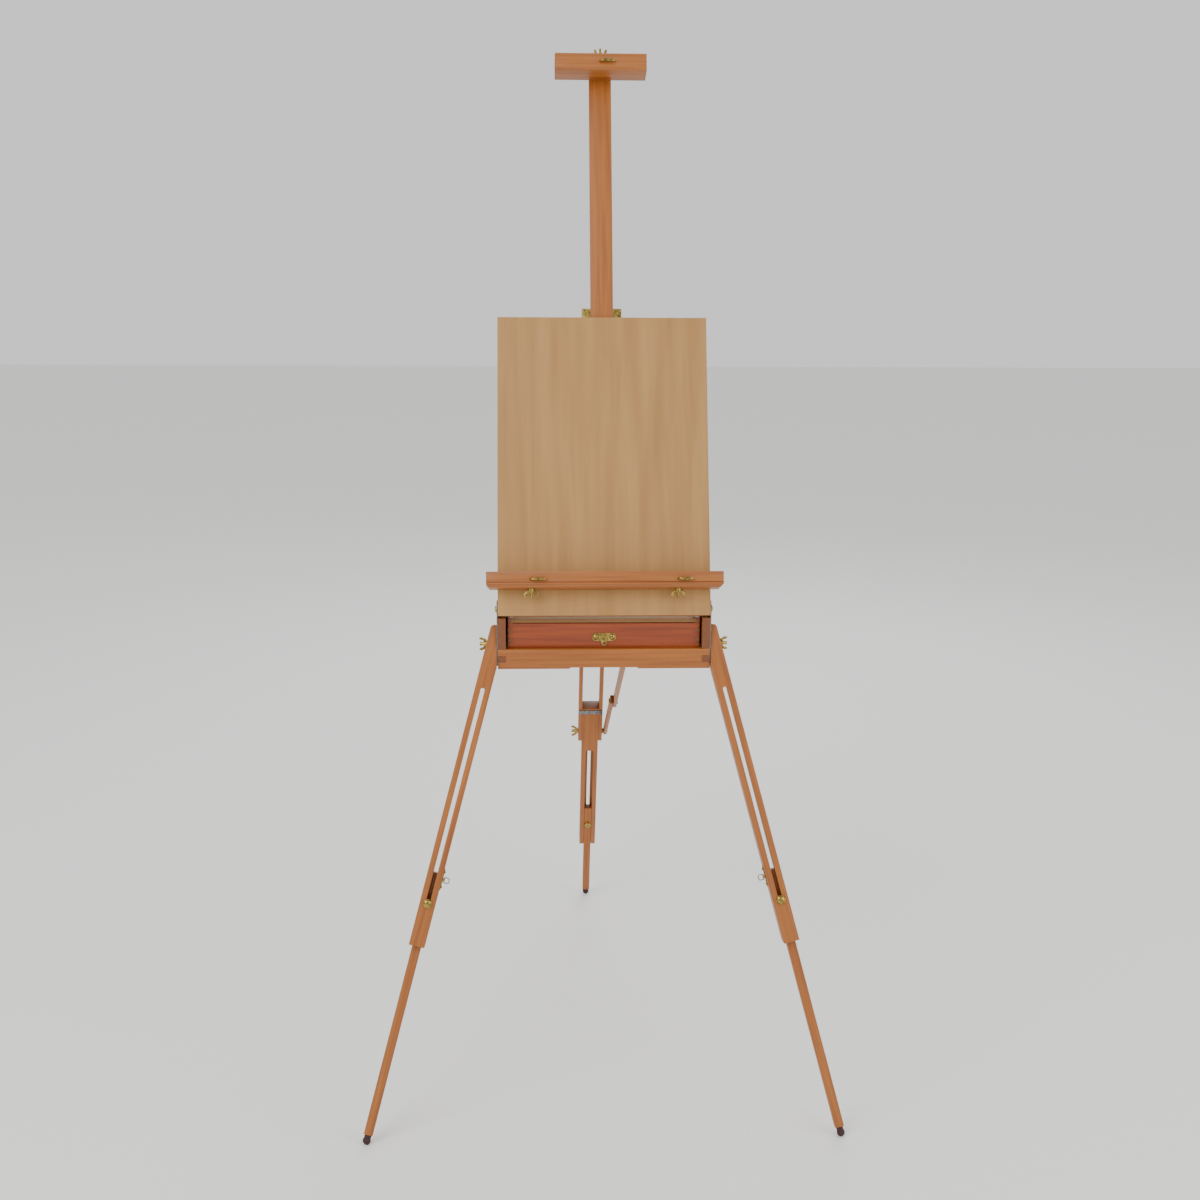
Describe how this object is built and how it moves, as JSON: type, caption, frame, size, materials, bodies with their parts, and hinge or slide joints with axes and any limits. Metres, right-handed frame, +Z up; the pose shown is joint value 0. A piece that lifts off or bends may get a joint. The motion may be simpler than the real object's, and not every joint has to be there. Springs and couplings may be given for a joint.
{
  "type": "folding box easel",
  "caption": "Folding beech box easel with a drawer, tilting lid, sliding mast, canvas tray and telescopic legs.",
  "frame": {"origin": "on the floor, under the middle of the bounding box", "axes": "+X to the artist's right seen from the front, +Y away from the artist, +Z up"},
  "size_m": [0.7668, 0.9468, 1.6883],
  "materials": {
    "beech": "satin varnish",
    "red_beech": "satin varnish",
    "plywood": "satin varnish",
    "dark_rubber": "matte",
    "steel": "satin",
    "brass": "aged satin"
  },
  "bodies": {
    "box": {"box_sides": "beech", "front_rail": "beech", "back_board": "beech", "bottom_board": "plywood", "side_fasteners": "brass", "lid_hinge_straps": "steel", "rear_leg_blocks": "beech"},
    "drawer": {"drawer_walls": "beech", "drawer_front": "red_beech", "drawer_bottom": "plywood", "drawer_dividers": "beech", "latch_plate": "brass"},
    "palette": {"palette": "plywood"},
    "latch_tongue": {"latch_tongue": "brass"},
    "lid": {"lid_side_rails": "beech", "lid_cross_rails": "beech", "lid_panel": "plywood", "mast_guides": "beech", "quadrant_stays": "brass", "mast_clamp_bracket": "brass", "canvas_tray": "beech", "tray_studs": "brass"},
    "mast": {"mast": "beech", "head_block": "beech", "head_stud": "brass"},
    "head_hook": {"head_hook": "brass"},
    "head_wing_nut": {"head_wing_nut": "brass"},
    "left_tray_hook": {"left_tray_hook": "brass"},
    "right_tray_hook": {"right_tray_hook": "brass"},
    "left_tray_wing_nut": {"left_tray_wing_nut": "brass"},
    "right_tray_wing_nut": {"right_tray_wing_nut": "brass"},
    "mast_wing_screw": {"mast_wing_screw": "brass"},
    "fork": {"fork_rails": "beech", "fork_bolts": "brass"},
    "cross_wing_nut": {"cross_wing_nut": "brass"},
    "rear_upper_leg": {"rear_upper_leg": "beech", "rear_stop_strap": "steel"},
    "rear_lower_leg": {"rear_lower_leg": "beech", "rear_foot": "dark_rubber", "rear_leg_clamp_bolt": "brass"},
    "rear_leg_wing_nut": {"rear_leg_wing_nut": "brass"},
    "brace_upper": {"brace_upper_link": "beech", "brace_rivets": "brass"},
    "brace_lower": {"brace_lower_link": "beech"},
    "left_upper_leg": {"left_upper_leg": "beech", "left_leg_catch_plate": "brass"},
    "left_catch_loop": {"left_leg_catch_loop": "steel"},
    "left_lower_leg": {"left_lower_leg": "beech", "left_foot": "dark_rubber", "left_leg_clamp_bolt": "brass"},
    "left_leg_wing_nut": {"left_leg_wing_nut": "brass"},
    "left_pivot_wing_nut": {"left_pivot_wing_nut": "brass"},
    "right_upper_leg": {"right_upper_leg": "beech", "right_leg_catch_plate": "brass"},
    "right_catch_loop": {"right_leg_catch_loop": "steel"},
    "right_lower_leg": {"right_lower_leg": "beech", "right_foot": "dark_rubber", "right_leg_clamp_bolt": "brass"},
    "right_leg_wing_nut": {"right_leg_wing_nut": "brass"},
    "right_pivot_wing_nut": {"right_pivot_wing_nut": "brass"}
  },
  "joints": [
    {"name": "drawer_slide", "type": "slide", "parent": "box", "child": "drawer", "axis": [0, -1, 0], "range_m": [0, 0.33]},
    {"name": "palette_slide", "type": "slide", "parent": "drawer", "child": "palette", "axis": [0, -1, 0], "range_m": [0, 0.25]},
    {"name": "latch_turn", "type": "hinge", "parent": "drawer", "child": "latch_tongue", "pos_m": [0, -0.28822, 0.78], "axis": [0, -1, 0], "range_deg": [-55, 55]},
    {"name": "lid_tilt", "type": "hinge", "parent": "box", "child": "lid", "pos_m": [0, -0.28472, 0.825], "axis": [1, 0, 0], "range_deg": [-69.6, 0]},
    {"name": "mast_slide", "type": "slide", "parent": "lid", "child": "mast", "axis": [0, 0.3486, 0.9373], "range_m": [-0.396, 0.02]},
    {"name": "head_hook_turn", "type": "hinge", "parent": "mast", "child": "head_hook", "pos_m": [0, 0.0103, 1.65417], "axis": [0, -0.9373, 0.3486], "range_deg": [-90, 90]},
    {"name": "head_nut_turn", "type": "hinge", "parent": "mast", "child": "head_wing_nut", "pos_m": [0, -0.00169, 1.67356], "axis": [0, 0.3486, 0.9373], "continuous": true},
    {"name": "mast_screw_turn", "type": "hinge", "parent": "lid", "child": "mast_wing_screw", "pos_m": [0, -0.10999, 1.2716], "axis": [0, -0.9373, 0.3486], "continuous": true},
    {"name": "left_tray_hook_turn", "type": "hinge", "parent": "lid", "child": "left_tray_hook", "pos_m": [-0.1147, -0.28215, 0.86779], "axis": [0, -0.9373, 0.3486], "range_deg": [-90, 90]},
    {"name": "left_tray_nut_turn", "type": "hinge", "parent": "lid", "child": "left_tray_wing_nut", "pos_m": [-0.1147, -0.30338, 0.86234], "axis": [0, 0.3486, 0.9373], "continuous": true},
    {"name": "left_leg_fold", "type": "hinge", "parent": "box", "child": "left_upper_leg", "pos_m": [-0.1675, -0.27922, 0.767], "axis": [1, 0, 0], "range_deg": [0, 104.4]},
    {"name": "left_leg_extend", "type": "slide", "parent": "left_upper_leg", "child": "left_lower_leg", "axis": [-0.2521, -0.2407, -0.9373], "range_m": [-0.3, 0]},
    {"name": "left_leg_nut_turn", "type": "hinge", "parent": "left_lower_leg", "child": "left_leg_wing_nut", "pos_m": [-0.27895, -0.39409, 0.37593], "axis": [0, 0.9686, -0.2487], "continuous": true},
    {"name": "left_pivot_nut_turn", "type": "hinge", "parent": "box", "child": "left_pivot_wing_nut", "pos_m": [-0.1675, -0.27922, 0.767], "axis": [1, 0, 0], "continuous": true},
    {"name": "left_catch_loop_swing", "type": "hinge", "parent": "left_upper_leg", "child": "left_catch_loop", "pos_m": [-0.25431, -0.36823, 0.40427], "axis": [-0.2521, -0.2407, -0.9373], "range_deg": [-80, 80]},
    {"name": "right_tray_hook_turn", "type": "hinge", "parent": "lid", "child": "right_tray_hook", "pos_m": [0.1147, -0.28215, 0.86779], "axis": [0, -0.9373, 0.3486], "range_deg": [-90, 90]},
    {"name": "right_tray_nut_turn", "type": "hinge", "parent": "lid", "child": "right_tray_wing_nut", "pos_m": [0.1147, -0.30338, 0.86234], "axis": [0, 0.3486, 0.9373], "continuous": true},
    {"name": "right_leg_fold", "type": "hinge", "parent": "box", "child": "right_upper_leg", "pos_m": [0.1675, -0.27922, 0.767], "axis": [1, 0, 0], "range_deg": [0, 104.4]},
    {"name": "right_leg_extend", "type": "slide", "parent": "right_upper_leg", "child": "right_lower_leg", "axis": [0.2521, -0.2407, -0.9373], "range_m": [-0.3, 0]},
    {"name": "right_leg_nut_turn", "type": "hinge", "parent": "right_lower_leg", "child": "right_leg_wing_nut", "pos_m": [0.27895, -0.39409, 0.37593], "axis": [0, 0.9686, -0.2487], "continuous": true},
    {"name": "right_pivot_nut_turn", "type": "hinge", "parent": "box", "child": "right_pivot_wing_nut", "pos_m": [0.1675, -0.27922, 0.767], "axis": [1, 0, 0], "continuous": true},
    {"name": "right_catch_loop_swing", "type": "hinge", "parent": "right_upper_leg", "child": "right_catch_loop", "pos_m": [0.25431, -0.36823, 0.40427], "axis": [0.2521, -0.2407, -0.9373], "range_deg": [-80, 80]},
    {"name": "fork_fold", "type": "hinge", "parent": "box", "child": "fork", "pos_m": [0, 0.14278, 0.7297], "axis": [1, 0, 0], "range_deg": [-114.53, 0]},
    {"name": "cross_nut_turn", "type": "hinge", "parent": "fork", "child": "cross_wing_nut", "pos_m": [0, 0.27811, 0.43312], "axis": [1, 0, 0], "continuous": true},
    {"name": "rear_leg_fold", "type": "hinge", "parent": "fork", "child": "rear_upper_leg", "pos_m": [0, 0.27811, 0.43312], "axis": [1, 0, 0], "range_deg": [0, 180.01]},
    {"name": "rear_leg_extend", "type": "slide", "parent": "rear_upper_leg", "child": "rear_lower_leg", "axis": [0, 0.4151, -0.9098], "range_m": [-0.1631, 0]},
    {"name": "rear_nut_turn", "type": "hinge", "parent": "rear_lower_leg", "child": "rear_leg_wing_nut", "pos_m": [0, 0.37346, 0.19524], "axis": [0, 0.9098, 0.4151], "continuous": true},
    {"name": "brace_upper_swing", "type": "hinge", "parent": "box", "child": "brace_upper", "pos_m": [0, -0.23722, 0.7297], "axis": [1, 0, 0], "range_deg": [0, 29.93]},
    {"name": "brace_lower_swing", "type": "hinge", "parent": "brace_upper", "child": "brace_lower", "pos_m": [0, 0.04384, 0.56794], "axis": [1, 0, 0], "range_deg": [-180.01, 0]}
  ],
  "couplings": [
    {"joint": "rear_leg_fold", "follows": "fork_fold", "ratio": -1.5717},
    {"joint": "brace_upper_swing", "follows": "fork_fold", "ratio": -0.26126},
    {"joint": "brace_lower_swing", "follows": "fork_fold", "ratio": 1.5717},
    {"joint": "rear_leg_extend", "follows": "fork_fold", "m_per_rad": 0.081546}
  ]
}
